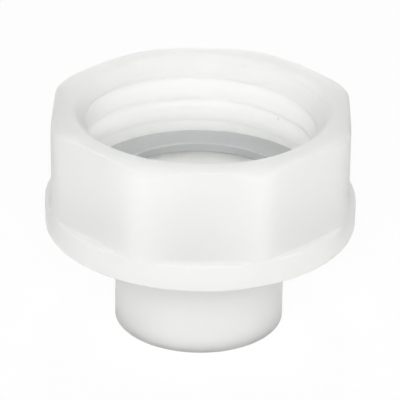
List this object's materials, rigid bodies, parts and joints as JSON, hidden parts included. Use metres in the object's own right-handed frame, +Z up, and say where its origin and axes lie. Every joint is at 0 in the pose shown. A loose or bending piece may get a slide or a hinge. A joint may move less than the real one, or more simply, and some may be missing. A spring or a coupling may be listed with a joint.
{
  "type": "ibc tap adapter",
  "caption": "Screw-on plastic adapter: a wide collar with wrench flats, a coarse-threaded socket and a sealing gasket in it, on a narrower tube with a pipe thread inside.",
  "frame": {"origin": "centre of the tube's lower end, on the surface that the adapter stands on", "axes": "+Z up the common axis of both threads, from the pipe thread to the tank; -Y out of one wrench flat, and +X out of another"},
  "size_m": [0.077, 0.077, 0.0573],
  "materials": {
    "moulding": "satin, slightly translucent natural white moulding",
    "gasket": "matt grey rubber with a fine moulded skin"
  },
  "bodies": {
    "root": {"adapter_body": "moulding", "gasket": "gasket"}
  },
  "joints": []
}
